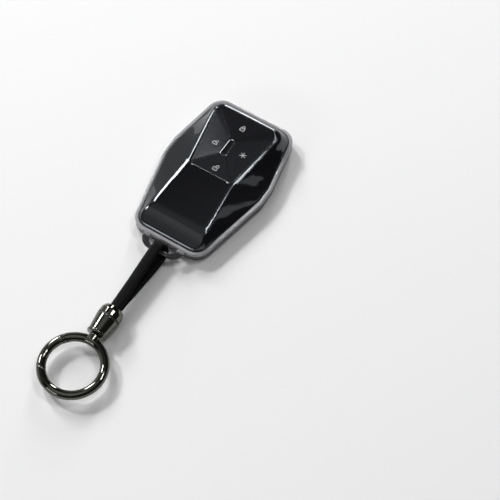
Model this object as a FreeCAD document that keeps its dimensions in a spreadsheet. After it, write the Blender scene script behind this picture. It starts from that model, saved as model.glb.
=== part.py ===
import FreeCAD, Part
import math
import os
import Sketcher

# Key fob cover: two nesting soft shells, four press buttons, a doubled leather strap,
# a swivel barrel and a spring-gate ring. Millimetres.
# The origin is on the back face at the widest line, +Y runs to the button end, +Z to the front.

doc = FreeCAD.newDocument("key_fob_cover")

sizes = {
    # rim outline, as corners before they are rounded
    "top_reach": 37.8,
    "bottom_reach": 46.0,
    "top_half_width": 22.5,
    "side_half_width": 28.25,
    "bottom_half_width": 19.1,
    "side_upper": 5.0,
    "side_lower": 4.0,
    "corner_radius": 8.5,
    "side_radius": 9.0,
    # back shell
    "rim_height": 7.3,
    "lip_width": 1.7,
    "lip_round": 0.45,
    "back_wall": 1.4,
    "back_round": 3.0,
    "seam_height": 3.3,
    "seam_width": 0.5,
    "seam_depth": 0.35,
    # front shell
    "shell_gap": 0.12,
    "front_wall": 1.4,
    "skirt_depth": 4.0,
    # plateau of the front shell: a plane that climbs to the button end
    "plateau_height": 13.3,
    "plateau_tilt": 2.3,
    "plateau_top_margin": 6.4,
    "plateau_top_side": 2.9,
    "waist_upper": 5.6,
    "waist_upper_share": 0.4496,
    "waist_lower": 15.8,
    "waist_lower_share": 0.4726,
    "plateau_bottom_margin": 2.6,
    "plateau_bottom_side": 2.5,
    "plateau_corner_radius": 5.0,
    "waist_radius": 6.0,
    "plateau_round": 4.4,
    "nose_start_margin": 18.0,
    "nose_bend_margin": 10.0,
    "nose_fall": 24.0,
    "nose_bend_radius": 24.0,
    "nose_clear": 0.02,
    "nose_tip_margin": 3.1,
    "nose_tip_fall": 45.0,
    "nose_tip_radius": 1.2,
    "inner_bottom_margin": 10.0,
    "inner_bottom_side": 4.6,
    # button panel, recessed into the plateau
    "panel_top_margin": 1.5,
    "panel_top_side": 1.9,
    "panel_bottom": 5.8,
    "panel_bottom_side": 1.0,
    "panel_top_radius": 4.8,
    "panel_bottom_radius": 2.2,
    "panel_depth": 1.8,
    "membrane": 0.8,
    "centre_bar_top": 15.1,
    "centre_bar_bottom": 5.2,
    "centre_bar_top_half": 1.5,
    "centre_bar_bottom_half": 1.9,
    "centre_bar_radius": 0.9,
    "centre_bar_bevel": 0.7,
    "centre_bar_drop": 0.25,
    "roof_rise": 1.2,
    # buttons
    "button_gap": 0.06,
    "button_float": 0.6,
    "button_step": 0.25,
    "nub_radius": 2.4,
    "nub_gap": 0.2,
    "nub_drop": 0.3,
    "guide_depth": 4.0,
    "lock_nub_up": 22.4,
    "side_nub_out": 7.4,
    "side_nub_up": 10.0,
    "unlock_nub_down": 0.6,
    # how far cutting and dividing lines run past what they cut, as a share of their length
    "overrun": 0.3,
    # lanyard loop on the back shell
    "loop_offset": 5.4,
    "loop_bar": 2.1,
    "loop_half_width": 11.4,
    "slot_half_width": 7.4,
    "loop_radius": 6.2,
    "loop_round": 0.75,
    "slot_radius": 3.2,
    # strap
    "strap_width": 5.2,
    "strap_thickness": 2.4,
    "strap_bar_gap": 0.25,
    "strap_layer_gap": 0.1,
    "strap_bend_length": 3.1,
    # barrel, measured along its axis from the mouth
    "strap_run": 36.1,
    "barrel_radius": 5.75,
    "mouth_radius": 3.3,
    "cap_front_radius": 4.7,
    "cap_length": 5.2,
    "cap_wall": 1.8,
    "cap_round": 1.2,
    "cap_shoulder": 2.34,
    "spigot_radius": 4.6,
    "spigot_gap": 0.05,
    "band_width": 1.0,
    "band_sink": 0.2,
    "body_end": 13.9,
    "body_end_radius": 4.7,
    "bore_radius": 3.7,
    "bore_end": 12.2,
    "tail_radius": 3.9,
    "collar_length": 1.4,
    "collar_radius": 4.95,
    "collar_round": 0.55,
    "ferrule_gap": 0.1,
    "ferrule_length": 5.0,
    "strap_fit": 0.06,
    # swivel
    "post_radius": 1.6,
    "post_gap": 0.05,
    "head_radius": 2.9,
    "head_thickness": 1.2,
    "washer_thickness": 0.4,
    "washer_radius": 3.4,
    "boss_gap": 0.45,
    "boss_radius": 2.9,
    "boss_height": 0.95,
    "boss_round": 0.4,
    # ring and its gate; angles are taken anticlockwise from +X about the ring's centre
    "ring_radius": 14.4,
    "wire_radius": 2.2,
    "hinge_angle": 141.0,
    "cut_outer_angle": 210.0,
    "cut_inner_angle": 228.0,
    "gate_gap_angle": 0.9,
    "cut_reach_angle": 25.0,
    "gate_spare_angle": 12.0,
    "cut_half_height": 3.3,
    "knuckle_radius": 2.15,
    "knuckle_gap": 0.2,
    "tongue_half": 0.7,
    "tongue_gap": 0.1,
    "pin_radius": 0.8,
    "pin_gap": 0.05,
    "pin_half": 2.2,
    "pin_round": 0.3,
    "spring_chord": 25.0,
    "spring_bore": 0.8,
    "spring_bore_length": 4.2,
    "spring_gap": 0.08,
    "spring_wire": 0.26,
    "spring_turns": 3.0,
    "plunger_length": 1.3,
    "plunger_round": 0.43,
    "spring_end_gap": 0.2,
}

sheet = doc.addObject("Spreadsheet::Sheet", "sheet")
for row, (alias, number) in enumerate(sizes.items(), 1):
    sheet.set(f"A{row}", alias)
    sheet.set(f"B{row}", str(number))
    sheet.setAlias(f"B{row}", alias)
doc.recompute()


class Size:
    # a length known both as a number and as an expression on the sheet
    def __init__(self, value, text):
        self.value = value
        self.text = text

    def __add__(self, other):
        other = as_size(other)
        return Size(self.value + other.value, f"({self.text} + {other.text})")

    def __sub__(self, other):
        other = as_size(other)
        return Size(self.value - other.value, f"({self.text} - {other.text})")

    def __mul__(self, other):
        other = as_size(other)
        return Size(self.value * other.value, f"({self.text} * {other.text})")

    def __truediv__(self, other):
        other = as_size(other)
        return Size(self.value / other.value, f"({self.text} / {other.text})")

    def __neg__(self):
        return Size(-self.value, f"(0 - {self.text})")


def as_size(value):
    return value if isinstance(value, Size) else Size(float(value), repr(float(value)))


def size(alias):
    return Size(float(sheet.get(alias)), f"sheet.{alias}")


def cosine(angle):
    return Size(math.cos(math.radians(angle.value)), f"cos({angle.text} * 1 deg)")


def sine(angle):
    return Size(math.sin(math.radians(angle.value)), f"sin({angle.text} * 1 deg)")


def slope_of(angle):
    return sine(angle) / cosine(angle)


zero = as_size(0)


def vector(x=0.0, y=0.0, z=0.0):
    return FreeCAD.Vector(x, y, z)


# sketches

def new_body(label, base=(zero, zero, zero), tilt=None):
    body = doc.addObject("PartDesign::Body", label)
    body.Label = label
    place(body, base, tilt)
    return body


def place(item, base, tilt=None):
    if tilt is not None:
        item.Placement = FreeCAD.Placement(vector(), FreeCAD.Rotation(vector(1), tilt.value))
        item.setExpression("Placement.Rotation.Angle", tilt.text)
    for axis, value in zip("xyz", base):
        item.setExpression(f"Placement.Base.{axis}", value.text)


def new_sketch(body, label, role="XY_Plane", lift=zero, tilt=None, spin=None, rise=None):
    # lift is along the plane's normal; tilt turns the sketch about its own x, spin about its own y
    # rise is along the tilted sketch's normal
    sketch = body.newObject("Sketcher::SketchObject", label)
    origin_plane = next(item for item in body.Origin.OriginFeatures if item.Role == role)
    sketch.AttachmentSupport = [(origin_plane, "")]
    sketch.MapMode = "FlatFace"
    angle = tilt or spin
    if angle is not None:
        axis = vector(1) if tilt else vector(0, 1)
        sketch.AttachmentOffset = FreeCAD.Placement(vector(), FreeCAD.Rotation(axis, angle.value))
        sketch.setExpression("AttachmentOffset.Rotation.Angle", angle.text)
    if rise is not None:
        sketch.setExpression("AttachmentOffset.Base.y", (rise * sine(tilt) * -1).text)
        lift = lift + rise * cosine(tilt)
    sketch.setExpression("AttachmentOffset.Base.z", lift.text)
    return sketch


def constrain(sketch, rules):
    # rules are (constraint arguments, Size or None); each Size is bound to the sheet
    made = []
    for arguments, length in rules:
        values = arguments if length is None else (*arguments, length.value)
        made.append(Sketcher.Constraint(*values))
    first = sketch.ConstraintCount
    sketch.addConstraint(made)
    for offset, (_, length) in enumerate(rules):
        if length is not None:
            sketch.setExpression(f"Constraints[{first + offset}]", length.text)


def point_rules(geometry, position, x, y):
    rules = []
    for kind, length, axis in (("DistanceX", x, -2), ("DistanceY", y, -1)):
        if length is zero:
            rules.append((("PointOnObject", geometry, position, axis), None))
        else:
            rules.append(((kind, -1, 1, geometry, position), length))
    return rules


def polygon(sketch, points):
    first = sketch.GeometryCount
    count = len(points)
    spots = [vector(x.value, y.value) for x, y in points]
    rules = []
    for index, (x, y) in enumerate(points):
        sketch.addGeometry(Part.LineSegment(spots[index], spots[(index + 1) % count]))
        rules.append((("Coincident", first + index, 1, first + (index - 1) % count, 2), None))
        rules += point_rules(first + index, 1, x, y)
    constrain(sketch, rules)


def circle(sketch, x, y, radius):
    index = sketch.GeometryCount
    sketch.addGeometry(Part.Circle(vector(x.value, y.value), vector(0, 0, 1), radius.value))
    constrain(sketch, [(("Radius", index), radius)] + point_rules(index, 3, x, y))


def outline(sketch, corners, radii=None, inset=None):
    # straight runs between corners, anticlockwise, each moved inwards by inset,
    # with a tangent arc at each corner where radii are given
    count = len(corners)
    spots = [vector(x.value, y.value) for x, y in corners]
    ways = [(spots[(i + 1) % count] - spots[i]).normalize() for i in range(count)]
    inward = [vector(-way.y, way.x) for way in ways]
    depth = inset.value if inset else 0.0
    moved, bends = [], []
    for i in range(count):
        before, after = ways[i - 1], ways[i]
        bend = math.atan2(before.cross(after).z, before.dot(after))
        reach = depth * math.tan(bend / 2)
        moved.append(spots[i] + inward[i] * depth + after * reach)
        bends.append(bend)
    arcs = [None] * count
    if radii:
        for i in range(count):
            arcs[i] = radii[i]
            if inset and radii[i]:
                arcs[i] = radii[i] - inset if bends[i] > 0 else radii[i] + inset
    trims = [abs(arcs[i].value * math.tan(bends[i] / 2)) if arcs[i] else 0.0 for i in range(count)]
    first = sketch.GeometryCount
    rules = []
    for i in range(count):
        after = (i + 1) % count
        start = moved[i] + ways[i] * trims[i]
        end = moved[after] - ways[i] * trims[after]
        sketch.addGeometry(Part.LineSegment(start, end))
    for i in range(count):
        spot = sketch.addGeometry(Part.Point(spots[i]), True)
        rules += point_rules(spot, 1, *corners[i])
        for line in (first + (i - 1) % count, first + i):
            if inset:
                rules.append((("Distance", spot, 1, line), inset))
            else:
                rules.append((("PointOnObject", spot, 1, line), None))
    for i in range(count):
        before, after = first + (i - 1) % count, first + i
        if arcs[i] is None:
            rules.append((("Coincident", before, 2, after, 1), None))
            continue
        left = 1.0 if bends[i] > 0 else -1.0
        centre = moved[i] - ways[i - 1] * trims[i] + inward[i - 1] * left * arcs[i].value
        from_centre = [moved[i] - ways[i - 1] * trims[i] - centre, moved[i] + ways[i] * trims[i] - centre]
        turns = [math.atan2(arm.y, arm.x) for arm in from_centre]
        if left < 0:
            turns.reverse()
        round_arc = Part.ArcOfCircle(Part.Circle(centre, vector(0, 0, 1), arcs[i].value), *turns)
        arc = sketch.addGeometry(round_arc)
        enters, leaves = (1, 2) if left > 0 else (2, 1)
        rules.append((("Tangent", before, 2, arc, enters), None))
        rules.append((("Tangent", arc, leaves, after, 1), None))
        rules.append((("Radius", arc), arcs[i]))
    constrain(sketch, rules)


# features

def extrude(body, kind, label, sketch, length, flip=False):
    feature = body.newObject(f"PartDesign::{kind}", label)
    feature.Profile = sketch
    feature.Length = abs(length.value)
    feature.setExpression("Length", length.text)
    feature.Reversed = flip
    doc.recompute()
    return feature


def pad(body, label, sketch, length, flip=False):
    return extrude(body, "Pad", label, sketch, length, flip)


def pocket(body, label, sketch, length, flip=False):
    before = body.Shape.Volume
    feature = extrude(body, "Pocket", label, sketch, length, flip)
    if feature.Shape.Volume > before - 1e-6:
        raise RuntimeError(f"{label} cuts nothing")
    return feature


def loft(body, kind, label, lower, upper):
    feature = body.newObject(f"PartDesign::{kind}Loft", label)
    feature.Profile = lower
    feature.Sections = [upper]
    feature.Ruled = True
    doc.recompute()
    return feature


def revolve(body, label, sketch, turn=as_size(360)):
    feature = body.newObject("PartDesign::Revolution", label)
    feature.Profile = sketch
    feature.ReferenceAxis = (sketch, ["V_Axis"])
    feature.setExpression("Angle", turn.text)
    doc.recompute()
    return feature


def fillet(body, label, base, chosen, radius):
    # chosen is a test on an edge's middle and ends
    names = []
    for index, edge in enumerate(base.Shape.Edges, 1):
        middle = edge.valueAt((edge.FirstParameter + edge.LastParameter) / 2)
        spots = [middle] + [vertex.Point for vertex in edge.Vertexes]
        if all(chosen(spot) for spot in spots):
            names.append(f"Edge{index}")
    feature = body.newObject("PartDesign::Fillet", label)
    feature.Base = (base, names)
    feature.Radius = radius.value
    feature.setExpression("Radius", radius.text)
    doc.recompute()
    return feature


def near(value, wanted):
    return abs(value - wanted) < 1e-4


def both_sides(half_points):
    # corners anticlockwise from the right of the top: the left half, then the right half back up
    left = [(-x, y) for x, y in half_points]
    right = list(reversed(half_points))
    return [right[-1]] + left + right[:-1]


# shared lines of the shells
rim_corners = both_sides([
    (size("top_half_width"), size("top_reach")),
    (size("side_half_width"), size("side_upper")),
    (size("side_half_width"), -size("side_lower")),
    (size("bottom_half_width"), -size("bottom_reach")),
])
plateau_top = size("top_reach") - size("plateau_top_margin")
plateau_top_half = size("top_half_width") - size("plateau_top_side")
waist_upper_half = size("side_half_width") * size("waist_upper_share")
upper_corners = [
    (plateau_top_half, plateau_top),
    (waist_upper_half, -size("waist_upper")),
    (size("side_half_width") * size("waist_lower_share"), -size("waist_lower")),
]
plateau_corners = both_sides(upper_corners + [
    (size("bottom_half_width") - size("plateau_bottom_side"),
     size("plateau_bottom_margin") - size("bottom_reach"))])
inner_corners = both_sides(upper_corners + [
    (size("bottom_half_width") - size("inner_bottom_side"),
     size("inner_bottom_margin") - size("bottom_reach"))])
panel_corners = both_sides([
    (plateau_top_half - size("panel_top_side"), plateau_top - size("panel_top_margin")),
    (waist_upper_half - size("panel_bottom_side"), -size("panel_bottom")),
])
centre_bar_corners = both_sides([
    (size("centre_bar_top_half"), size("centre_bar_top")),
    (size("centre_bar_bottom_half"), size("centre_bar_bottom")),
])


def both_radii(half_radii):
    return [half_radii[0]] + half_radii + half_radii[:0:-1]


corner_radius = size("corner_radius")
side_radius = size("side_radius")
rim_radii = both_radii([corner_radius, side_radius, side_radius, corner_radius])
waist_radius = size("waist_radius")
plateau_corner = size("plateau_corner_radius")
plateau_radii = both_radii([plateau_corner, waist_radius, waist_radius, plateau_corner])
panel_radii = both_radii([size("panel_top_radius"), size("panel_bottom_radius")])
centre_bar_radii = [size("centre_bar_radius")] * 4
rim_height = size("rim_height")
skirt_inset = size("lip_width") + size("shell_gap")
cavity_inset = skirt_inset + size("front_wall")
plateau_height = size("plateau_height")
plateau_tilt = size("plateau_tilt")
axis_height = size("barrel_radius")
loop_reach = size("bottom_reach") + size("loop_offset")
mouth_reach = loop_reach + size("strap_run")


# back shell: tray with a thick rim, a seam line and the lanyard loop

def make_back_cover():
    body = new_body("back_cover")
    rim = new_sketch(body, "rim_outline")
    outline(rim, rim_corners, rim_radii)
    block = pad(body, "rim_block", rim, rim_height)
    fillet(body, "back_edge", block, lambda spot: near(spot.z, 0), size("back_round"))
    tray = new_sketch(body, "tray_outline", lift=rim_height)
    outline(tray, rim_corners, rim_radii, size("lip_width"))
    hollow = pocket(body, "tray", tray, rim_height - size("back_wall"))
    fillet(body, "lip_edge", hollow, lambda spot: near(spot.z, rim_height.value), size("lip_round"))
    seam = new_sketch(body, "seam_ring", lift=size("seam_height") + size("seam_width"))
    outline(seam, rim_corners, rim_radii)
    outline(seam, rim_corners, rim_radii, size("seam_depth"))
    pocket(body, "seam", seam, size("seam_width"))
    make_loop(body)
    return body


def make_loop(body):
    bar_half = size("loop_bar") / 2
    wall = size("bottom_reach") - size("lip_width") / 2
    outer = loop_reach + bar_half
    inner = loop_reach - bar_half
    arm = size("loop_half_width")
    half = size("slot_half_width")
    wide = size("loop_radius")
    tight = size("slot_radius")
    hoop = new_sketch(body, "loop_outline", lift=axis_height - bar_half)
    outline(hoop, [(arm, -wall), (half, -wall), (half, -inner), (-half, -inner),
                   (-half, -wall), (-arm, -wall), (-arm, -outer), (arm, -outer)],
            [None, None, tight, tight, None, None, wide, wide])
    loop = pad(body, "loop", hoop, size("loop_bar"))

    def on_bar(spot):
        level = near(abs(spot.z - axis_height.value), bar_half.value)
        return level and spot.y < -size("bottom_reach").value - 1e-3 and abs(spot.x) < arm.value - 1e-3

    fillet(body, "bar_round", loop, on_bar, size("loop_round"))


# front shell: skirt inside the rim, faceted flanks up to the plateau, button recess

def make_front_cover():
    body = new_body("front_cover")
    skirt = new_sketch(body, "skirt_outline", lift=rim_height - size("skirt_depth"))
    outline(skirt, rim_corners, rim_radii, skirt_inset)
    pad(body, "skirt", skirt, size("skirt_depth"))
    foot = new_sketch(body, "flank_foot", lift=rim_height)
    outline(foot, rim_corners, rim_radii, skirt_inset)
    crown = new_sketch(body, "plateau_outline", lift=plateau_height, tilt=plateau_tilt)
    outline(crown, plateau_corners, plateau_radii)
    flanks = loft(body, "Additive", "flanks", foot, crown)
    slope = math.tan(math.radians(plateau_tilt.value))

    def on_plateau(spot):
        return near(spot.z, plateau_height.value + slope * spot.y)

    fillet(body, "plateau_edge", flanks, on_plateau, size("plateau_round"))
    cut_nose(body)
    hollow = new_sketch(body, "skirt_hollow", lift=rim_height - size("skirt_depth"))
    outline(hollow, rim_corners, rim_radii, cavity_inset)
    pocket(body, "skirt_inside", hollow, size("skirt_depth") - size("front_wall"), flip=True)
    inner_foot = new_sketch(body, "inner_foot", lift=rim_height - size("front_wall"))
    outline(inner_foot, rim_corners, rim_radii, cavity_inset)
    top_wall = size("panel_depth") + size("membrane")
    inner_crown = new_sketch(body, "inner_crown", lift=plateau_height - top_wall, tilt=plateau_tilt)
    outline(inner_crown, inner_corners, plateau_radii, size("front_wall"))
    loft(body, "Subtractive", "inside", inner_foot, inner_crown)
    recess = new_sketch(body, "panel_outline", lift=plateau_height, tilt=plateau_tilt)
    outline(recess, panel_corners, panel_radii)
    pocket(body, "panel_recess", recess, size("panel_depth"))
    eaves_rise = size("roof_rise") - size("centre_bar_drop")
    for label, length, flip in (("centre_bar_root", size("panel_depth"), True),
                                ("centre_bar_crown", eaves_rise, False)):
        bar = new_sketch(body, f"{label}_outline", lift=plateau_height, tilt=plateau_tilt)
        outline(bar, centre_bar_corners, centre_bar_radii)
        pad(body, label, bar, length, flip)
    eaves = new_sketch(body, "bar_eaves", lift=plateau_height, tilt=plateau_tilt, rise=eaves_rise)
    outline(eaves, centre_bar_corners, centre_bar_radii)
    ridge = new_sketch(body, "bar_ridge", lift=plateau_height, tilt=plateau_tilt, rise=size("roof_rise"))
    outline(ridge, centre_bar_corners, centre_bar_radii, size("centre_bar_bevel"))
    loft(body, "Additive", "centre_bar_bevels", eaves, ridge)
    guides = new_sketch(body, "nub_guides", lift=plateau_height, tilt=plateau_tilt)
    for x, y in button_spots().values():
        circle(guides, x, y, size("nub_radius") + size("nub_gap"))
    pocket(body, "guide_holes", guides, size("guide_depth"))
    return body


def cut_nose(body):
    # below the buttons the top bends down towards the loop
    reach = size("bottom_reach")
    start = reach - size("nose_start_margin")
    bend = reach - size("nose_bend_margin")
    tip = reach - size("nose_tip_margin")
    steep = slope_of(plateau_tilt)
    level = plateau_height + size("nose_clear")
    bend_height = level - bend * steep
    tip_height = bend_height - (tip - bend) * slope_of(size("nose_fall"))
    end_height = tip_height - size("nose_tip_margin") * slope_of(size("nose_tip_fall"))
    nose = new_sketch(body, "nose_outline", "YZ_Plane", lift=size("side_half_width"))
    outline(nose, [(-start, level - start * steep), (-start, level), (-reach, level),
                   (-reach, end_height), (-tip, tip_height), (-bend, bend_height)],
            [None, None, None, None, size("nose_tip_radius"), size("nose_bend_radius")])
    pocket(body, "nose", nose, size("side_half_width") * 2)


# buttons: one hipped roof divided along its creases

def button_spots():
    return {
        "lock_button": (zero, size("lock_nub_up")),
        "trunk_button": (-size("side_nub_out"), size("side_nub_up")),
        "unlock_button": (zero, -size("unlock_nub_down")),
        "light_button": (size("side_nub_out"), size("side_nub_up")),
    }


def make_buttons():
    plateau = (zero, zero, plateau_height)
    gap = size("button_gap")
    floor = size("button_float") - size("panel_depth")
    blank = new_body("button_roof", plateau, plateau_tilt)
    base = new_sketch(blank, "button_base", lift=floor)
    outline(base, panel_corners, panel_radii, gap)
    pad(blank, "button_slab", base, -floor - size("button_step"))
    eaves = new_sketch(blank, "button_eaves", lift=-size("button_step"))
    outline(eaves, panel_corners, panel_radii, gap)
    ridge = new_sketch(blank, "button_ridge", lift=size("roof_rise"))
    outline(ridge, centre_bar_corners, centre_bar_radii)
    loft(blank, "Additive", "button_hips", eaves, ridge)
    nub_top = -size("button_step") * 2
    nub_bottom = -size("panel_depth") - size("membrane") - size("nub_drop")
    buttons = []
    for corner, (label, spot) in enumerate(button_spots().items()):
        edge = [corner, (corner + 1) % 4]
        sector = new_body(f"{label}_sector", plateau, plateau_tilt)
        field = new_sketch(sector, f"{label}_field", lift=floor)
        inner = [centre_bar_corners[index] for index in edge]
        outer = [beyond(inner[step], panel_corners[edge[step]]) for step in (0, 1)]
        outline(field, [outer[0], outer[1], inner[1], inner[0]], inset=gap)
        pad(sector, f"{label}_block", field, size("panel_depth") + size("roof_rise"))
        face = doc.addObject("Part::Common", f"{label}_face")
        face.Base = blank
        face.Tool = sector
        nub = doc.addObject("Part::Cylinder", f"{label}_nub")
        nub.setExpression("Radius", size("nub_radius").text)
        nub.setExpression("Height", (nub_top - nub_bottom).text)
        lean = sine(plateau_tilt)
        rise = cosine(plateau_tilt)
        place(nub, (spot[0], spot[1] * rise - nub_bottom * lean,
                    plateau_height + spot[1] * lean + nub_bottom * rise), plateau_tilt)
        button = doc.addObject("Part::Fuse", label)
        button.Base = face
        button.Tool = nub
        button.Label = label
        doc.recompute()
        buttons.append(button)
    return buttons


def beyond(start, end):
    # a spot on the line from start to end, past its end
    overrun = size("overrun")
    return tuple(end[axis] + (end[axis] - start[axis]) * overrun for axis in (0, 1))


# strap: flat oval section, from the barrel round the loop's bar and back

def make_strap():
    thickness = size("strap_thickness").value
    fold = size("loop_bar").value / 2 + size("strap_bar_gap").value + thickness / 2
    layer = (thickness + size("strap_layer_gap").value) / 2
    bar = -loop_reach.value
    mouth = -mouth_reach.value
    end = -(mouth_reach + ferrule_start() + size("ferrule_length")).value
    reach = bar - mouth
    lean = math.asin((fold - layer) / reach)
    trim = size("strap_bend_length").value
    soft_bend = trim / math.tan(lean / 2)
    touch = (bar - fold * math.sin(lean), fold * math.cos(lean))
    way = (math.cos(lean), math.sin(lean))
    start = (mouth, touch[1] - (touch[0] - mouth) * math.tan(lean))
    height = axis_height.value
    drop = soft_bend * (1 - math.cos(lean / 2))
    middle_turn = (start[0] - trim + soft_bend * math.sin(lean / 2), start[1] + drop)

    def spot(y, z):
        return vector(0, y, height + z)

    def run(sign):
        inside = spot(end, sign * start[1])
        bend_in = spot(start[0] - trim, sign * start[1])
        bend_mid = spot(middle_turn[0], sign * middle_turn[1])
        bend_out = spot(start[0] + trim * way[0], sign * (start[1] + trim * way[1]))
        tangent = spot(touch[0], sign * touch[1])
        return [Part.LineSegment(inside, bend_in), Part.Arc(bend_in, bend_mid, bend_out),
                Part.LineSegment(bend_out, tangent)]

    upper = run(1)
    lower = run(-1)
    turn = Part.Arc(spot(touch[0], touch[1]), spot(bar + fold, 0), spot(touch[0], -touch[1]))
    path = Part.Wire([edge.toShape() for edge in upper + [turn]]
                     + [edge.toShape() for edge in reversed(lower)])
    half_flat = (size("strap_width").value - thickness) / 2
    half = thickness / 2
    level = height + start[1]

    def rim(x, z):
        return vector(x, end, level + z)

    section = Part.Wire([edge.toShape() for edge in (
        Part.LineSegment(rim(-half_flat, half), rim(half_flat, half)),
        Part.Arc(rim(half_flat, half), rim(half_flat + half, 0), rim(half_flat, -half)),
        Part.LineSegment(rim(half_flat, -half), rim(-half_flat, -half)),
        Part.Arc(rim(-half_flat, -half), rim(-half_flat - half, 0), rim(-half_flat, half)))])
    strap = doc.addObject("Part::Feature", "strap")
    strap.Shape = path.makePipeShell([section], True, False)
    strap.Label = "strap"
    strap.Placement = FreeCAD.Placement()
    area = 2 * half_flat * thickness + math.pi * half ** 2
    print(f"strap: bend radii {soft_bend:.0f} and {fold:.2f} mm, length {path.Length:.1f} mm,",
          f"volume {strap.Shape.Volume:.1f} of {area * path.Length:.1f} mm3")
    return strap


# barrel, every piece turned about the barrel's axis

def barrel_body_at(label):
    return new_body(label, (zero, -mouth_reach, axis_height))


def turned(label, points):
    body = barrel_body_at(label)
    profile = new_sketch(body, f"{label}_profile")
    polygon(profile, [(radius, -along) for radius, along in points])
    return body, revolve(body, f"{label}_turned", profile)


def ferrule_start():
    return size("cap_wall") + size("ferrule_gap")


def band_start():
    return size("cap_length")


def body_start():
    return band_start() + size("band_width")


def barrel_end():
    return size("body_end") + size("collar_length")


def make_barrel_cap():
    outer = size("barrel_radius")
    inside = size("spigot_radius") + size("spigot_gap")
    front = size("cap_front_radius")
    shoulder = size("cap_shoulder")
    body, cap = turned("barrel_cap", [
        (size("mouth_radius"), as_size(0)), (front, as_size(0)), (outer, shoulder),
        (outer, size("cap_length")), (inside, size("cap_length")),
        (inside, size("cap_wall")), (size("mouth_radius"), size("cap_wall"))])

    def on_dome(spot):
        ring = math.hypot(spot.x, spot.z)
        return near(spot.y, 0) and near(ring, front.value) or near(spot.y, -shoulder.value)

    fillet(body, "cap_dome", cap, on_dome, size("cap_round"))
    return body


def make_barrel_band():
    outer = size("barrel_radius") - size("band_sink")
    inner = size("spigot_radius") + size("spigot_gap")
    body, _ = turned("barrel_band", [
        (inner, band_start()), (outer, band_start()), (outer, body_start()), (inner, body_start())])
    return body


def make_barrel_body():
    spigot = size("spigot_radius")
    bore = size("bore_radius")
    hole = size("post_radius") + size("post_gap")
    body, _ = turned("barrel_body", [
        (bore, size("cap_wall") + size("spigot_gap")), (spigot, size("cap_wall") + size("spigot_gap")),
        (spigot, body_start()), (size("barrel_radius"), body_start()),
        (size("body_end_radius"), size("body_end")), (size("tail_radius"), size("body_end")),
        (size("tail_radius"), barrel_end()), (hole, barrel_end()),
        (hole, size("bore_end")), (bore, size("bore_end"))])
    return body


def make_barrel_collar():
    inner = size("tail_radius")
    outer = size("collar_radius")
    start = size("body_end")
    body, ring = turned("barrel_collar", [
        (inner, start), (outer, start), (outer, barrel_end()), (inner, barrel_end())])

    def on_rim(spot):
        return near(math.hypot(spot.x, spot.z), outer.value)

    fillet(body, "collar_bead", ring, on_rim, size("collar_round"))
    return body


def make_strap_ferrule():
    body = barrel_body_at("strap_ferrule")
    sleeve = new_sketch(body, "sleeve_section", "XZ_Plane", lift=ferrule_start())
    circle(sleeve, zero, zero, size("bore_radius") - size("ferrule_gap"))
    fit = size("strap_fit")
    half_x = size("strap_width") / 2 + fit
    half_z = size("strap_thickness") + size("strap_layer_gap") / 2 + fit
    bend = size("strap_thickness") / 2 + fit
    outline(sleeve, [(half_x, half_z), (-half_x, half_z), (-half_x, -half_z), (half_x, -half_z)], [bend] * 4)
    pad(body, "sleeve", sleeve, size("ferrule_length"))
    return body


# swivel

def head_end():
    return size("bore_end") - size("washer_thickness") - size("post_gap")


def make_swivel_washer():
    inner = size("post_radius") + size("post_gap") * 2
    body, _ = turned("swivel_washer", [
        (inner, size("bore_end") - size("washer_thickness")),
        (size("washer_radius"), size("bore_end") - size("washer_thickness")),
        (size("washer_radius"), size("bore_end")), (inner, size("bore_end"))])
    return body


def boss_face():
    return barrel_end() + size("boss_gap")


def ring_centre():
    return boss_face() + size("boss_height") + size("wire_radius") + size("ring_radius")


def post_end():
    return ring_centre() - size("ring_radius")


def make_swivel_post():
    body, _ = turned("swivel_post", [
        (zero, head_end() - size("head_thickness")),
        (size("head_radius"), head_end() - size("head_thickness")), (size("head_radius"), head_end()),
        (size("post_radius"), head_end()), (size("post_radius"), post_end()), (zero, post_end())])
    return body


# ring

def ring_body_at(label):
    return new_body(label, (zero, -(mouth_reach + ring_centre()), axis_height))


def polar(radius, angle):
    return radius * cosine(angle), radius * sine(angle)


def hinge_spot():
    return polar(size("ring_radius"), size("hinge_angle"))


def wire_arc(body, label, start, turn):
    section = new_sketch(body, f"{label}_section", "XZ_Plane", spin=start)
    circle(section, size("ring_radius"), zero, size("wire_radius"))
    return revolve(body, label, section, turn)


def slanted_cut(body, label, back_off, towards):
    # removes the wire on one side of the slanted end of the gate
    wire = size("wire_radius")
    ring = size("ring_radius")
    outer = polar(ring + wire, size("cut_outer_angle") - back_off)
    inner = polar(ring - wire, size("cut_inner_angle") - back_off)
    reach = size("cut_reach_angle")
    far_angle = size("cut_outer_angle") - reach if towards < 0 else size("cut_inner_angle") + reach
    corners = [beyond(inner, outer), beyond(outer, inner),
               polar(ring - wire * 2, far_angle), polar(ring + wire * 2, far_angle)]
    shape = new_sketch(body, f"{label}_shape", lift=size("cut_half_height"))
    polygon(shape, corners)
    pocket(body, label, shape, size("cut_half_height") * 2)


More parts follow.
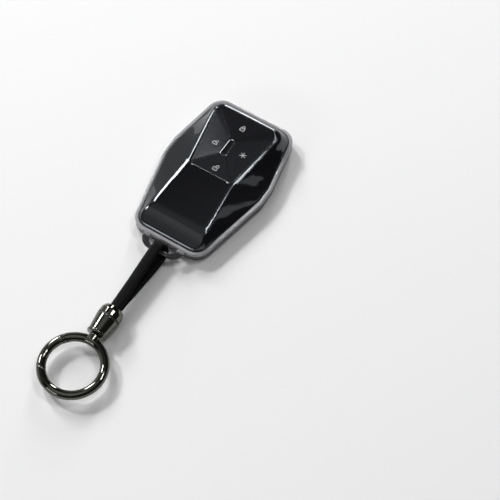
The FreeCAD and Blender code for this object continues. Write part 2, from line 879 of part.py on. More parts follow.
def make_ring_body():
    body = ring_body_at("ring_frame")
    sweep = size("hinge_angle") + size("gate_spare_angle") - size("cut_outer_angle") + 360
    wire_arc(body, "wire", size("cut_outer_angle"), sweep)
    slanted_cut(body, "nose", zero, -1)
    hinge = hinge_spot()
    mouth = new_sketch(body, "fork_mouth", lift=size("tongue_half") + size("tongue_gap"))
    circle(mouth, *hinge, size("knuckle_radius") + size("knuckle_gap") * 2)
    pocket(body, "fork", mouth, (size("tongue_half") + size("tongue_gap")) * 2)
    hole = new_sketch(body, "pin_hole_outline", lift=size("pin_half"))
    circle(hole, *hinge, size("pin_radius"))
    pocket(body, "pin_hole", hole, size("pin_half") * 2)
    top = size("ring_radius") + size("wire_radius") + size("boss_height")
    boss = new_sketch(body, "boss_outline", "XZ_Plane", lift=-top)
    circle(boss, zero, zero, size("boss_radius"))
    post_boss = pad(body, "boss", boss, size("wire_radius") + size("boss_height"))
    fillet(body, "boss_edge", post_boss, lambda spot: near(spot.y, top.value), size("boss_round"))
    seat = new_sketch(body, "post_seat_outline", "XZ_Plane", lift=-top)
    circle(seat, zero, zero, size("post_radius"))
    pocket(body, "post_seat", seat, size("wire_radius") + size("boss_height"), flip=True)
    bore = doc.addObject("Part::Cylinder", "spring_bore_tool")
    bore.setExpression("Radius", size("spring_bore").text)
    bore.setExpression("Height", (size("knuckle_radius") + size("spring_bore_length")).text)
    bore.Placement = spring_placement(0.0)
    rounded = doc.addObject("Part::Cut", "ring_knuckle")
    rounded.Base = body
    rounded.Tool = make_knuckle_waste()
    ring = doc.addObject("Part::Cut", "ring_body")
    ring.Base = rounded
    ring.Tool = bore
    ring.Label = "ring_body"
    doc.recompute()
    return ring


def make_knuckle_waste():
    # the wire past the hinge, apart from the knuckle's round
    body = ring_body_at("knuckle_waste")
    wire = size("wire_radius")
    ring = size("ring_radius")
    hinge_angle = size("hinge_angle")
    far_angle = hinge_angle + size("cut_reach_angle")
    height = size("cut_half_height")
    block = new_sketch(body, "waste_outline", lift=-height)
    polygon(block, [polar(ring - wire * 2, hinge_angle), polar(ring + wire * 2, hinge_angle),
                    polar(ring + wire * 2, far_angle), polar(ring - wire * 2, far_angle)])
    pad(body, "waste", block, height * 2)
    keep = new_sketch(body, "knuckle_round", lift=height)
    circle(keep, *hinge_spot(), size("knuckle_radius"))
    pocket(body, "knuckle", keep, height * 2)
    return body


def spring_placement(along):
    # local z runs from the hinge pin into the fixed wire
    heading = math.radians(size("hinge_angle").value - 90 - size("spring_chord").value / 2)
    way = vector(math.cos(heading), math.sin(heading))
    hinge = [value.value for value in hinge_spot()]
    centre = vector(0, -(mouth_reach + ring_centre()).value, axis_height.value)
    return FreeCAD.Placement(centre + vector(*hinge) + way * along, FreeCAD.Rotation(vector(0, 0, 1), way))


def make_ring_gate():
    body = ring_body_at("ring_gate")
    sweep = size("cut_inner_angle") + size("gate_spare_angle") - size("hinge_angle")
    wire_arc(body, "gate_wire", size("hinge_angle"), sweep)
    slanted_cut(body, "gate_tip", size("gate_gap_angle"), 1)
    hinge = hinge_spot()
    tongue = size("tongue_half")
    room = size("knuckle_radius") + size("knuckle_gap")
    for label, lift, flip in (("upper_relief", tongue, True), ("lower_relief", -tongue, False)):
        relief = new_sketch(body, f"{label}_outline", lift=lift)
        circle(relief, *hinge, room)
        pocket(body, label, relief, size("wire_radius"), flip)
    tail = new_sketch(body, "tongue_outline", lift=-tongue)
    circle(tail, *hinge, size("knuckle_radius") - size("tongue_gap"))
    pad(body, "tongue", tail, tongue * 2)
    hole = new_sketch(body, "gate_hole_outline", lift=tongue * 2)
    circle(hole, *hinge, size("pin_radius") + size("pin_gap"))
    pocket(body, "gate_hole", hole, tongue * 4)
    return body


def make_gate_pin():
    body = ring_body_at("gate_pin")
    section = new_sketch(body, "pin_outline", lift=-size("pin_half"))
    circle(section, *hinge_spot(), size("pin_radius"))
    shank = pad(body, "shank", section, size("pin_half") * 2)
    fillet(body, "pin_ends", shank, lambda spot: near(abs(spot.z), size("pin_half").value), size("pin_round"))
    return body


def make_gate_plunger():
    radius = (size("spring_bore") - size("spring_gap")).value
    start = (size("knuckle_radius") - size("tongue_gap") + size("spring_gap")).value
    length = size("plunger_length").value
    pin = Part.makeCylinder(radius, length)
    tip = [edge for edge in pin.Edges if edge.Closed and near(edge.CenterOfMass.z, 0)]
    plunger = doc.addObject("Part::Feature", "gate_plunger")
    plunger.Shape = pin.makeFillet(size("plunger_round").value, tip)
    plunger.Label = "gate_plunger"
    plunger.Placement = spring_placement(start)
    return plunger


def make_gate_spring():
    wire = size("spring_wire").value / 2
    radius = (size("spring_bore") - size("spring_gap")).value - wire
    tail = size("knuckle_radius") - size("tongue_gap") + size("spring_gap") + size("plunger_length")
    start = (tail + size("spring_end_gap")).value
    end = (size("knuckle_radius") + size("spring_bore_length") - size("spring_end_gap")).value
    turns = size("spring_turns").value
    pitch = (end - start) / turns
    helix = Part.makeHelix(pitch, end - start, radius)
    section = Part.Wire(Part.makeCircle(wire, vector(radius), vector(0, 1, 0)))
    spring = doc.addObject("Part::Feature", "gate_spring")
    spring.Shape = Part.Wire(helix).makePipeShell([section], True, True)
    spring.Label = "gate_spring"
    spring.Placement = spring_placement(start)
    print(f"gate spring: {turns:.0f} turns, least gap between turns {pitch - 2 * wire:.2f} mm")
    return spring


parts = [
    make_back_cover(), make_front_cover(), *make_buttons(), make_strap(), make_strap_ferrule(),
    make_barrel_cap(), make_barrel_band(), make_barrel_body(), make_barrel_collar(),
    make_swivel_washer(), make_swivel_post(), make_ring_body(), make_ring_gate(), make_gate_pin(),
    make_gate_plunger(), make_gate_spring(),
]
doc.recompute()

faults = [item.Label for item in doc.Objects if {"Invalid", "Error"} & set(item.State)]
faults += [part.Label for part in parts if part.Shape.isNull() or not part.Shape.isValid()]
faults += [part.Label for part in parts if len(part.Shape.Solids) != 1]
if faults:
    raise RuntimeError(f"not built: {faults}")

os.makedirs("parts", exist_ok=True)
for part in parts:
    part.Shape.exportStep(f"parts/{part.Label}.step")
    box = part.Shape.BoundBox
    print(f"{part.Label}: {part.Shape.Volume:.1f} mm3, x {box.XMin:.2f} {box.XMax:.2f},",
          f"y {box.YMin:.2f} {box.YMax:.2f}, z {box.ZMin:.2f} {box.ZMax:.2f}")
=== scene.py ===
import bmesh
import bpy
import math
from mathutils import Matrix, Vector
from mathutils.bvhtree import BVHTree


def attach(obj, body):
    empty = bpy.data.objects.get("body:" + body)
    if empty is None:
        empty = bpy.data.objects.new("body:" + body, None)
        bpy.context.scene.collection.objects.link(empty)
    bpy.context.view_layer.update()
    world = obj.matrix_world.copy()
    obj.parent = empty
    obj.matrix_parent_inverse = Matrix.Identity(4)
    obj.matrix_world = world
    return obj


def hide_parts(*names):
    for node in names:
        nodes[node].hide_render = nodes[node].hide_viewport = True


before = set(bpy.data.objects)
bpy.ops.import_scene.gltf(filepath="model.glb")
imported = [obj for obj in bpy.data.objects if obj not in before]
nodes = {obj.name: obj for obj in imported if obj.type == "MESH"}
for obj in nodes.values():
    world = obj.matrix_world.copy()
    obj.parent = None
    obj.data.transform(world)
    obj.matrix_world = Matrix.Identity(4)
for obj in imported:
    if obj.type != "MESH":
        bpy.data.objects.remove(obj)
scene = bpy.context.scene
scene.view_settings.view_transform = "Standard"
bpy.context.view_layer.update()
mm = 0.001
print("frame loaded:", len(nodes), "nodes")


# camera: from the loop's side, to the right and well above

cameraSet = {
    "place": (0.2046, -0.30016, 0.58157),
    "target": (0.03474, -0.02555, 0.0),
    "lens": 100.8,
    "sensor": 36.0,
    "clip": (0.01, 50),
}


def addCamera(values):
    data = bpy.data.cameras.new("camera")
    data.lens = values["lens"]
    data.sensor_width = values["sensor"]
    data.clip_start, data.clip_end = values["clip"]
    camera = bpy.data.objects.new("camera", data)
    scene.collection.objects.link(camera)
    camera.location = values["place"]
    way = Vector(values["target"]) - camera.location
    camera.rotation_euler = way.to_track_quat("-Z", "Y").to_euler()
    scene.camera = camera
    print("camera:", values["lens"], "mm lens")


addCamera(cameraSet)


# shader values: sums on them become Math nodes, any other node comes from make()

class Wire:
    def __init__(self, tree, socket=None):
        self.tree = tree
        self.socket = socket

    def make(self, kind, settings=None, sockets=None, out=0):
        node = self.tree.nodes.new("ShaderNode" + kind)
        for name, value in (settings or {}).items():
            if name == "stops":
                marks = node.color_ramp.elements
                while len(marks) < len(value):
                    marks.new(1.0)
                for mark, (spot, shade) in zip(marks, value):
                    mark.position = spot
                    mark.color = (shade, shade, shade, 1)
            else:
                setattr(node, name, value)
        for name, value in (sockets or {}).items():
            if isinstance(value, Wire):
                self.tree.links.new(value.socket, node.inputs[name])
            else:
                node.inputs[name].default_value = value
        return Wire(self.tree, node.outputs[out] if node.outputs else None)

    def maths(self, operation, first, second=0.0):
        return self.make("Math", {"operation": operation}, {0: first, 1: second})

    def __add__(self, other):
        return self.maths("ADD", self, other)

    def __sub__(self, other):
        return self.maths("SUBTRACT", self, other)

    def __mul__(self, other):
        return self.maths("MULTIPLY", self, other)

    def __rsub__(self, other):
        return self.maths("SUBTRACT", other, self)

    __radd__ = __add__
    __rmul__ = __mul__


def newMaterial(name):
    material = bpy.data.materials.new(name)
    material.use_nodes = True
    material.node_tree.nodes.clear()
    start = Wire(material.node_tree)
    return material, start, start.make("TexCoord", out="Object")


def along(start, spot, axis):
    return start.make("SeparateXYZ", None, {0: spot}, axis)


def stretched(start, spot, scale, turn=0.0):
    return start.make("Mapping", None, {"Vector": spot, "Rotation": (0, 0, turn), "Scale": scale})


def noise(start, spot, scale, detail=3.0, roughness=0.55):
    return start.make("TexNoise", None, {"Vector": spot, "Scale": scale, "Detail": detail,
                                         "Roughness": roughness}, "Fac")


def shades(start, amount, stops):
    return start.make("ValToRGB", {"stops": stops}, {"Fac": amount}, "Color")


def grey(start, shade):
    return start.make("RGBToBW", None, {0: shade})


def colour(value, blue=1.0):
    return (value, value, value * blue, 1)


def mixTone(start, amount, first, second):
    return start.make("Mix", {"data_type": "RGBA"}, {"Factor": amount, 6: first, 7: second}, 2)


def between(amount, first, second):
    return first + (second - first) * amount


def blend(first, second, share):
    return first * share + second * (1 - share)


def fade(start, value, first, last):
    return start.make("MapRange", {"interpolation_type": "SMOOTHSTEP"},
                      {"Value": value, "From Min": first, "From Max": last})


def bump(start, height, strength, depth, soft=None):
    # soft is how far round a piece's edges are eased, in metres
    sockets = {"Height": height, "Strength": strength, "Distance": depth}
    if soft is not None:
        sockets["Normal"] = start.make("Bevel", {"samples": 12}, {"Radius": soft})
    return start.make("Bump", None, sockets)


def surface(start, sockets):
    shader = start.make("BsdfPrincipled", None, sockets)
    start.make("OutputMaterial", None, {"Surface": shader})


# smoked soft plastic: glossy, with the faint swell of a moulding and hair-fine rub marks

mouldSet = {"swell": 90.0, "grain": 2600.0, "rub": (900, 40, 900), "rubTurn": 0.5, "rubShare": (0.55, 0.75),
            "blue": 1.3, "tint": (0.88, 0.95, 1.0, 1), "swellShare": 0.9, "bump": 0.05, "depth": 0.0004}
shellSet = {"tone": 0.005, "rubTone": 0.007, "gloss": 0.05, "rubGloss": 0.08, "index": 1.65, "soft": 0.0017,
            "fineSoft": 0.00015, "finePlace": (0, 3.0), "fineReach": (9.5, 12.2)}
buttonSet = {"tone": 0.006, "rubTone": 0.008, "gloss": 0.20, "rubGloss": 0.25, "index": 1.5, "soft": 0.00012}


def edgeEase(start, spot, values):
    # edges are eased widely, and less below the buttons' panel and on the small bar in it
    if "fineSoft" not in values:
        return values["soft"]
    near = 1.0
    for axis, middle, reach in zip("XY", values["finePlace"], values["fineReach"]):
        away = start.maths("ABSOLUTE", along(start, spot, axis) - middle * mm)
        near = start.maths("LESS_THAN", away, reach * mm) * near
    return between(near, values["soft"], values["fineSoft"])


def smokedShell(name, values, mould):
    material, start, spot = newMaterial(name)
    swell = noise(start, spot, mould["swell"], detail=2.0)
    grain = noise(start, spot, mould["grain"], detail=4.0, roughness=0.6)
    rub = noise(start, stretched(start, spot, mould["rub"], mould["rubTurn"]), 1.0)
    marks = shades(start, rub, list(zip(mould["rubShare"], (0.0, 1.0))))
    tones = [colour(values[tone], mould["blue"]) for tone in ("tone", "rubTone")]
    ease = edgeEase(start, spot, values)
    surface(start, {
        "Base Color": mixTone(start, marks, *tones),
        "Roughness": between(grey(start, marks), values["gloss"], values["rubGloss"]),
        "IOR": values["index"], "Specular Tint": mould["tint"],
        "Normal": bump(start, blend(swell, grain, mould["swellShare"]), mould["bump"], mould["depth"], ease)})
    return material


# the tray's plastic lets light through and its lip is faint; the wall below the lip is darker
# and the loop darkest, both with painted shade

rimSet = {"tone": 0.84, "blue": 1.04, "wallShadeTone": 0.14, "loopShadeTone": 0.06, "shadeBlue": 1.1,
          "lip": 6.3, "wall": 4.9, "loopStart": -45.5, "loopEnd": -48.5,
          "clear": 0.58, "gloss": 0.03, "rubGloss": 0.07, "index": 1.45,
          "swell": 110.0, "rub": 700.0, "bump": 0.05, "depth": 0.0004, "soft": 0.0008}


def clearRim(name, values):
    material, start, spot = newMaterial(name)
    swell = noise(start, spot, values["swell"], detail=2.0)
    rub = noise(start, spot, values["rub"], detail=4.0)
    tone = colour(values["tone"], values["blue"])
    # painted shade: the tone darkens from the lip down the wall, and on the loop; thick holds its share at
    # each point
    paintedShades = (("Z", "lip", "wall", "wallShadeTone"), ("Y", "loopStart", "loopEnd", "loopShadeTone"))
    for axis, first, last, shade in paintedShades:
        thick = fade(start, along(start, spot, axis), values[first] * mm, values[last] * mm)
        tone = mixTone(start, thick, tone, colour(values[shade], values["shadeBlue"]))
    surface(start, {
        "Base Color": tone, "Roughness": between(rub, values["gloss"], values["rubGloss"]),
        "IOR": values["index"], "Transmission Weight": values["clear"],
        "Normal": bump(start, swell, values["bump"], values["depth"], values["soft"])})
    return material


# black nickel, and on the ring the joints of its gate, round the hinge's knuckle and along the slanted cut,
# as a dark line with painted highlights on the rubbed edges beside it

metalSet = {"tone": 0.13, "darkTone": 0.11, "blue": 0.87, "gloss": 0.03, "wornGloss": 0.07, "haze": 420.0,
            "wornShare": (0.42, 0.72), "fine": 5200.0, "bump": 0.02, "depth": 0.0001, "soft": 0.0003}
# rubTone is the painted highlight on the edges beside each joint; tone is the dark joint line
seamSet = {"hinge": (-11.19, -111.74), "knuckle": 2.25, "past": (-0.629, -0.777),
           "cut": (-14.38, -129.1), "across": (0.1224, 0.9925), "side": -5.0,
           "line": 0.18, "tone": 0.004, "rub": 0.36, "rubTone": 0.34, "gloss": 0.32}


def jointLines(start, spot, values):
    flat = start.make("VectorMath", {"operation": "MULTIPLY"}, {0: spot, 1: (1, 1, 0)}, "Vector")

    def measured(place, way):
        origin = (place[0] * mm, place[1] * mm, 0)
        away = start.make("VectorMath", {"operation": "SUBTRACT"}, {0: flat, 1: origin}, "Vector")
        return away, start.make("VectorMath", {"operation": "DOT_PRODUCT"}, {0: away, 1: (*way, 0)}, "Value")

    away, past = measured(values["hinge"], values["past"])
    reach = start.make("VectorMath", {"operation": "LENGTH"}, {0: away}, "Value")
    knuckle = start.maths("ABSOLUTE", reach - values["knuckle"] * mm) + start.maths("LESS_THAN", past, 0.0)
    _, across = measured(values["cut"], values["across"])
    beside = start.maths("GREATER_THAN", along(start, spot, "X"), values["side"] * mm)
    near = start.maths("MINIMUM", knuckle, start.maths("ABSOLUTE", across) + beside)
    return [start.maths("LESS_THAN", near, values[name] * mm) for name in ("rub", "line")]


def darkMetal(name, values, seams=None):
    material, start, spot = newMaterial(name)
    haze = noise(start, spot, values["haze"], detail=4.0, roughness=0.6)
    fine = noise(start, spot, values["fine"], detail=2.0)
    worn = shades(start, haze, list(zip(values["wornShare"], (0.0, 1.0))))
    tone = mixTone(start, worn, *[colour(values[shade], values["blue"]) for shade in ("tone", "darkTone")])
    gloss = between(grey(start, worn), values["gloss"], values["wornGloss"])
    if seams:
        paintedEdgeHighlight, joint = jointLines(start, spot, seams)  # painted highlights on the rubbed edges, with a dark line between them
        tone = mixTone(start, paintedEdgeHighlight, tone, colour(seams["rubTone"]))
        tone = mixTone(start, joint, tone, colour(seams["tone"]))
        gloss = between(paintedEdgeHighlight, gloss, seams["gloss"])
    surface(start, {
        "Base Color": tone, "Metallic": 1.0, "Roughness": gloss,
        "Normal": bump(start, fine, values["bump"], values["depth"], values["soft"])})
    return material


# drawn steel of the spring and the small pieces inside

steelSet = {"drawn": (400, 9000, 400), "tones": [(0.3, 0.34), (0.7, 0.52)], "gloss": 0.18, "dullGloss": 0.32,
            "bump": 0.05, "depth": 0.0001}


def steel(name, values):
    material, start, spot = newMaterial(name)
    drawn = noise(start, stretched(start, spot, values["drawn"]), 1.0)
    surface(start, {
        "Base Color": shades(start, drawn, values["tones"]), "Metallic": 1.0,
        "Roughness": between(drawn, values["gloss"], values["dullGloss"]),
        "Normal": bump(start, drawn, values["bump"], values["depth"])})
    return material


# matt rubber of the barrel's thin band

bandSet = {"grain": 3000.0, "tones": [(0.3, 0.006), (0.8, 0.016)], "gloss": 0.45, "dullGloss": 0.65,
           "bump": 0.2, "depth": 0.0001}


def bandRubber(name, values):
    material, start, spot = newMaterial(name)
    grain = noise(start, spot, values["grain"], detail=4.0)
    surface(start, {
        "Base Color": shades(start, grain, values["tones"]),
        "Roughness": between(grain, values["gloss"], values["dullGloss"]),
        "Normal": bump(start, grain, values["bump"], values["depth"])})
    return material


# smooth black leather: fine pores, creases along the strap, drier on the folds

leatherSet = {"tone": 0.002, "highTone": 0.005, "gloss": 0.42, "dryGloss": 0.58, "shine": 0.08,
              "pores": 2300.0, "folds": 500.0, "creases": (1400, 120, 1400), "wearShare": (0.4, 0.7),
              "foldShare": 0.6, "poreShare": 0.5, "bump": 0.35, "depth": 0.0002}


def smoothLeather(name, values):
    material, start, spot = newMaterial(name)
    pores = start.make("TexVoronoi", {"feature": "SMOOTH_F1"},
                       {"Vector": spot, "Scale": values["pores"]}, "Distance")
    folds = noise(start, spot, values["folds"], detail=4.0, roughness=0.6)
    creases = noise(start, stretched(start, spot, values["creases"]), 1.0)
    worn = blend(folds, creases, values["foldShare"])
    wear = shades(start, worn, list(zip(values["wearShare"], (0.0, 1.0))))
    surface(start, {
        "Base Color": mixTone(start, wear, colour(values["tone"]), colour(values["highTone"])),
        "Roughness": between(folds, values["gloss"], values["dryGloss"]),
        "Specular IOR Level": values["shine"],
        "Normal": bump(start, blend(pores, creases, values["poreShare"]), values["bump"], values["depth"])})
    return material


# pale print of the signs

printSet = {"tone": 0.85, "wornTone": 0.62, "blue": 1.03, "worn": 2500.0, "gloss": 0.4, "wornGloss": 0.6}


def signPrint(name, values):
    material, start, spot = newMaterial(name)
    worn = noise(start, spot, values["worn"])
    tones = [colour(values[tone], values["blue"]) for tone in ("tone", "wornTone")]
    surface(start, {
        "Base Color": mixTone(start, worn, *tones),
        "Roughness": between(worn, values["gloss"], values["wornGloss"])})
    return material


shellFinish = smokedShell("smokedShell", shellSet, mouldSet)
buttonFinish = smokedShell("smokedButton", buttonSet, mouldSet)
rimFinish = clearRim("smokedRim", rimSet)
metalFinish = darkMetal("blackNickel", metalSet)
ringFinish = darkMetal("blackNickelRing", metalSet, seamSet)
steelFinish = steel("springSteel", steelSet)
bandFinish = bandRubber("mattBand", bandSet)
leatherFinish = smoothLeather("smoothLeather", leatherSet)
signFinish = signPrint("palePrint", printSet)

finishes = {
    "front_cover": shellFinish, "back_cover": rimFinish,
    "lock_button": buttonFinish, "trunk_button": buttonFinish,
    "light_button": buttonFinish, "unlock_button": buttonFinish,
    "strap_ferrule": steelFinish, "swivel_washer": steelFinish,
    "gate_spring": steelFinish, "gate_plunger": steelFinish, "barrel_band": bandFinish,
    "barrel_cap": metalFinish, "barrel_body": metalFinish, "barrel_collar": metalFinish,
    "swivel_post": metalFinish, "ring_body": ringFinish, "ring_gate": ringFinish, "gate_pin": metalFinish,
}
shadeSet = {"pieces": ("front_cover", "back_cover"), "join": 0.000001, "sharp": 28}


def shadeByArea(node, values):
    # loose triangles are joined, parted again at sharp edges, and shaded by the size of their faces
    node.modifiers.new("join", "WELD").merge_threshold = values["join"]
    node.modifiers.new("part", "EDGE_SPLIT").split_angle = math.radians(values["sharp"])
    node.modifiers.new("shade", "WEIGHTED_NORMAL").mode = "FACE_AREA_WITH_ANGLE"


def dress(node, material):
    node.data.materials.clear()
    node.data.materials.append(material)


for name, material in finishes.items():
    dress(nodes[name], material)
for name in shadeSet["pieces"]:
    shadeByArea(nodes[name], shadeSet)
print("finishes:", len(finishes), "nodes dressed")


# strap: flat oval leather from the barrel round the loop's bar and back, its two runs a little apart

strapSet = {
    "route": [(0, -94.4, 7.0), (0, -88, 7.0), (-0.4, -70, 7.5), (-0.9, -58, 8.1), (-1.0, -51.9, 8.35),
              (-0.8, -48.6, 8.4), (1.3, -48.6, 3.1), (1.9, -51.9, 3.1), (2.0, -58, 3.3), (1.2, -70, 3.7),
              (0, -88, 4.5), (0, -94.4, 4.5)],
    "roll": [0] * 6 + [-56] * 6,
    "width": 5.2,
    "thickness": 2.4,
    "crown": 1.06,
    "length": 94.4,
    "exit": (0, -87.5, 7.0),
    "steps": 10,
    "roundSteps": 5,
    "join": 0.000001,
}


def addCurve(name, points, steps, closed):
    data = bpy.data.curves.new(name, "CURVE")
    data.dimensions = "3D"
    spline = data.splines.new("NURBS")
    spline.points.add(len(points) - 1)
    for point, spot in zip(spline.points, points):
        point.co = (*[number * mm for number in spot], 1)
    spline.use_cyclic_u = closed
    spline.order_u = 3
    spline.use_endpoint_u = not closed
    spline.resolution_u = steps
    curve = bpy.data.objects.new(name, data)
    scene.collection.objects.link(curve)
    return curve


def addProfile(values):
    half, high = values["width"] / 2, values["thickness"] / 2
    crown = high * values["crown"]
    corners = [(half, high, 0), (0, crown, 0), (-half, high, 0),
               (-half, -high, 0), (0, -crown, 0), (half, -high, 0)]
    profile = addCurve("strapProfile", corners, values["roundSteps"], closed=True)
    profile.data.dimensions = "2D"
    return profile


def meshOf(item):
    bpy.context.view_layer.update()
    graph = bpy.context.evaluated_depsgraph_get()
    return bpy.data.meshes.new_from_object(item.evaluated_get(graph))


def addStrap(values):
    route = addCurve("strapRoute", values["route"], values["steps"], closed=False)
    path = [tuple(vertex.co) for vertex in meshOf(route).vertices]
    for point, roll in zip(route.data.splines[0].points, values["roll"]):
        point.tilt = math.radians(roll)  # keeps the lower run as flat as the upper
    profile = addProfile(values)
    route.data.bevel_mode = "OBJECT"
    route.data.bevel_object = profile
    route.data.use_fill_caps = True
    mesh = meshOf(route)
    for helper in (route, profile):
        bpy.data.objects.remove(helper)
    shape = bmesh.new()
    shape.from_mesh(mesh)
    bmesh.ops.remove_doubles(shape, verts=shape.verts, dist=values["join"])
    bmesh.ops.recalc_face_normals(shape, faces=shape.faces)
    for face in shape.faces:
        face.smooth = True
    shape.to_mesh(mesh)
    shape.free()
    strap = bpy.data.objects.new("leather_strap", mesh)
    scene.collection.objects.link(strap)
    dress(strap, leatherFinish)
    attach(strap, "tether")
    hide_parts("strap")
    print("strap:", len(mesh.polygons), "faces on", len(path), "path points")


addStrap(strapSet)


# signs printed on the buttons: drawn flat in millimetres, then laid on the button's face

signSet = {
    "line": 0.23,
    "past": 0.8,
    "archSteps": 14,
    "lift": 0.02,
    "thick": 0.03,
    "above": 100.0,
    "spots": {
        "lock_sign": ("lock_button", "lock", (0.6, 23.1)),
        "trunk_sign": ("trunk_button", "trunk", (-6.7, 9.7)),
        "light_sign": ("light_button", "light", (8.6, 10.3)),
        "unlock_sign": ("unlock_button", "unlock", (0.8, -2.1)),
    },
}


def bar(shape, centre, length, angle, width):
    turn = Matrix.Translation((*centre, 0)) @ Matrix.Rotation(angle, 4, "Z")
    made = bmesh.ops.create_grid(shape, x_segments=2, y_segments=1, size=0.5, matrix=turn)
    squeeze = turn @ Matrix.Diagonal((length, width, 1, 1)) @ turn.inverted()
    bmesh.ops.transform(shape, matrix=squeeze, verts=made["verts"])


def frameOutline(shape, centre, size, line):
    made = bmesh.ops.create_grid(shape, x_segments=1, y_segments=1, size=0.5)
    bmesh.ops.scale(shape, vec=(*size, 1), verts=made["verts"])
    bmesh.ops.translate(shape, vec=(*centre, 0), verts=made["verts"])
    faces = list({face for vertex in made["verts"] for face in vertex.link_faces})
    bmesh.ops.inset_region(shape, faces=faces, thickness=line, use_even_offset=True, use_boundary=True)
    bmesh.ops.delete(shape, geom=faces, context="FACES")


def arch(shape, centre, radius, line):
    inner = shape.verts.new((centre[0] + radius - line / 2, centre[1], 0))
    outer = shape.verts.new((centre[0] + radius + line / 2, centre[1], 0))
    edge = shape.edges.new((inner, outer))
    bmesh.ops.spin(shape, geom=[inner, outer, edge], cent=(*centre, 0), axis=(0, 0, 1), angle=math.pi,
                   steps=signSet["archSteps"])


def stroke(shape, points, line):
    # each run goes a little past its ends, so that the corners close
    for first, last in zip(points, points[1:]):
        run = Vector(last) - Vector(first)
        middle = (Vector(first) + Vector(last)) / 2
        bar(shape, middle, run.length + line * signSet["past"], math.atan2(run.y, run.x), line)


padlockSet = {"body": (2.4, 1.75), "bodyPlace": (0, -0.62), "keyhole": [(0, -0.5), (0, -0.74)],
              "keyholeLine": 0.2, "shackle": 0.7, "shackleLevel": 0.72, "legTop": 0.7, "legFoot": 0.25,
              "openShift": 0.72, "openFoot": 0.55}
starSet = {"bars": [(32, 3.6), (92, 3.2), (152, 3.2)], "line": 0.2}
bootSet = {
    "car": [(-0.2, 0.45), (-0.9, 0.45), (-1.35, -0.2), (-1.35, -1.0), (1.2, -1.0), (1.2, -0.1), (0.35, -0.1),
            (-0.2, 0.45)],
    "lid": [(-0.2, 0.45), (0.55, 1.15), (1.3, 1.0)],
}


def padlock(shape, line, values, isOpen):
    frameOutline(shape, values["bodyPlace"], values["body"], line)
    stroke(shape, values["keyhole"], values["keyholeLine"])
    middle = values["openShift"] if isOpen else 0.0
    arch(shape, (middle, values["shackleLevel"]), values["shackle"], line)
    feet = (values["legFoot"], values["openFoot"] if isOpen else values["legFoot"])
    for side, foot in zip((-1, 1), feet):
        leg = middle + side * values["shackle"]
        stroke(shape, [(leg, values["legTop"]), (leg, foot)], line)


def star(shape, values):
    for angle, reach in values["bars"]:
        bar(shape, (0, 0), reach, math.radians(angle), values["line"])


def drawSign(shape, kind, line):
    if kind in ("lock", "unlock"):
        padlock(shape, line, padlockSet, kind == "unlock")
    elif kind == "light":
        star(shape, starSet)
    else:
        for points in bootSet.values():
            stroke(shape, points, line)


def layOn(shape, node, values):
    face = bmesh.new()
    face.from_mesh(nodes[node].data)
    tree = BVHTree.FromBMesh(face)
    face.free()
    for vertex in shape.verts:
        above = Vector((vertex.co.x, vertex.co.y, values["above"] * mm))
        spot, normal, _, _ = tree.ray_cast(above, Vector((0, 0, -1)))
        vertex.co = spot + normal * values["lift"] * mm


def addSign(name, node, kind, centre, values):
    shape = bmesh.new()
    drawSign(shape, kind, values["line"])
    bmesh.ops.scale(shape, vec=(mm, mm, mm), verts=shape.verts)
    bmesh.ops.translate(shape, vec=(centre[0] * mm, centre[1] * mm, 0), verts=shape.verts)
    bmesh.ops.recalc_face_normals(shape, faces=shape.faces)
    layOn(shape, node, values)
    for face in shape.faces:
        if face.normal.z < 0:
            face.normal_flip()
    bmesh.ops.solidify(shape, geom=shape.faces, thickness=-values["thick"] * mm)
    mesh = bpy.data.meshes.new(name)
    shape.to_mesh(mesh)
    shape.free()
    sign = bpy.data.objects.new(name, mesh)
    scene.collection.objects.link(sign)
    dress(sign, signFinish)
    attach(sign, kind)


for name, (node, kind, centre) in signSet["spots"].items():
    addSign(name, node, kind, centre, signSet)
print("signs:", len(signSet["spots"]))


# floor: matt, and as pale far from the lamps as near them

floorSet = {"tone": 0.93, "gloss": 0.9, "shine": 0.1, "reach": 20.0, "level": -0.0001,
            "farStart": 0.7, "farEnd": 1.8, "farTone": 0.88}


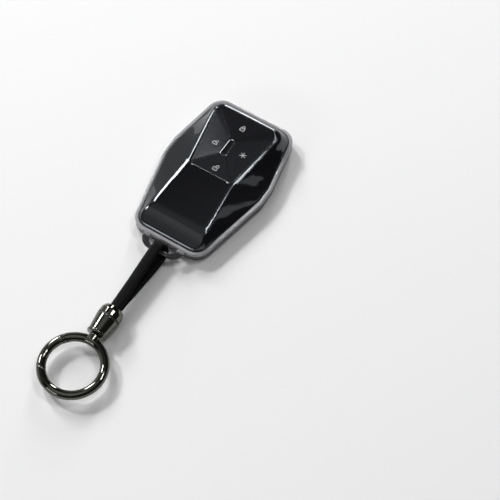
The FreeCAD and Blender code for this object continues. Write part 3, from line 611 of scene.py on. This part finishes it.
def addFloor(values):
    shape = bmesh.new()
    bmesh.ops.create_grid(shape, x_segments=1, y_segments=1, size=values["reach"])
    bmesh.ops.translate(shape, vec=(0, 0, values["level"]), verts=shape.verts)
    mesh = bpy.data.meshes.new("floor")
    shape.to_mesh(mesh)
    shape.free()
    floor = bpy.data.objects.new("floor", mesh)
    scene.collection.objects.link(floor)
    material, start, spot = newMaterial("paleFloor")
    away = start.make("VectorMath", {"operation": "LENGTH"}, {0: spot}, "Value")
    far = fade(start, away, values["farStart"], values["farEnd"])
    seen = start.make("LightPath", out="Is Camera Ray")
    for ray in ("Is Glossy Ray", "Is Transmission Ray"):
        seen = start.maths("MAXIMUM", seen, start.make("LightPath", out=ray))
    matt = start.make("BsdfPrincipled", None, {
        "Base Color": colour(values["tone"]), "Roughness": values["gloss"],
        "Specular IOR Level": values["shine"]})
    glow = start.make("Emission", None, {"Color": colour(values["farTone"]), "Strength": 1.0})
    mixed = start.make("MixShader", None, {0: far * seen, 1: matt, 2: glow})
    start.make("OutputMaterial", None, {"Surface": mixed})
    dress(floor, material)
    print("floor:", values["reach"], "m each way")


addFloor(floorSet)


# lamps: degrees round from +X, degrees down from overhead, distance, width and height, brightness

lampSet = {
    "key": (174, 48, 3.0, (0.36, 0.36), 70.0),
    "leftStrip": (151.5, 54, 2.2, (0.29, 0.86), 27.0),
    "leftWall": (172, 67, 1.8, (3.4, 1.5), 0.40),
    "rightStrip": (51, 24, 2.2, (0.40, 0.18), 29.0),
    "rightLow": (30, 34, 2.2, (0.14, 0.10), 30.0),
    "rightGlow": (34, 42, 1.4, (0.30, 0.20), 0.6),
    "backStrip": (109, 71, 1.5, (0.20, 0.72), 19.0),
    "lowStrip": (250, 67, 1.2, (0.5, 0.10), 10.0),
    "topBox": (262, 26, 1.5, (1.2, 1.1), 0.30),
}
# brightness of the studio's ceiling, by height: 0 level with the floor, 1 overhead
skySet = [(0.0, 0.05), (0.3, 0.045), (0.87, 0.045), (0.94, 0.3), (1.0, 0.45)]


def addLamp(name, about, down, distance, spread, brightness):
    data = bpy.data.lights.new(name, "AREA")
    data.shape = "RECTANGLE"
    data.size, data.size_y = spread
    data.energy = brightness * math.pi * spread[0] * spread[1]
    lamp = bpy.data.objects.new(name, data)
    scene.collection.objects.link(lamp)
    turn, fall = math.radians(about), math.radians(down)
    way = Vector((math.cos(turn) * math.sin(fall), math.sin(turn) * math.sin(fall), math.cos(fall)))
    lamp.location = way * distance
    lamp.rotation_euler = (-way).to_track_quat("-Z", "Y").to_euler()


def addSky(stops):
    world = bpy.data.worlds.new("studio")
    scene.world = world
    world.use_nodes = True
    world.node_tree.nodes.clear()
    start = Wire(world.node_tree)
    height = along(start, start.make("TexCoord", out="Generated"), "Z")
    glow = start.make("Background", None, {"Color": shades(start, height, stops), "Strength": 1.0})
    start.make("OutputWorld", None, {"Surface": glow})


for name, values in lampSet.items():
    addLamp(name, *values)
addSky(skySet)
print("lamps:", len(lampSet))
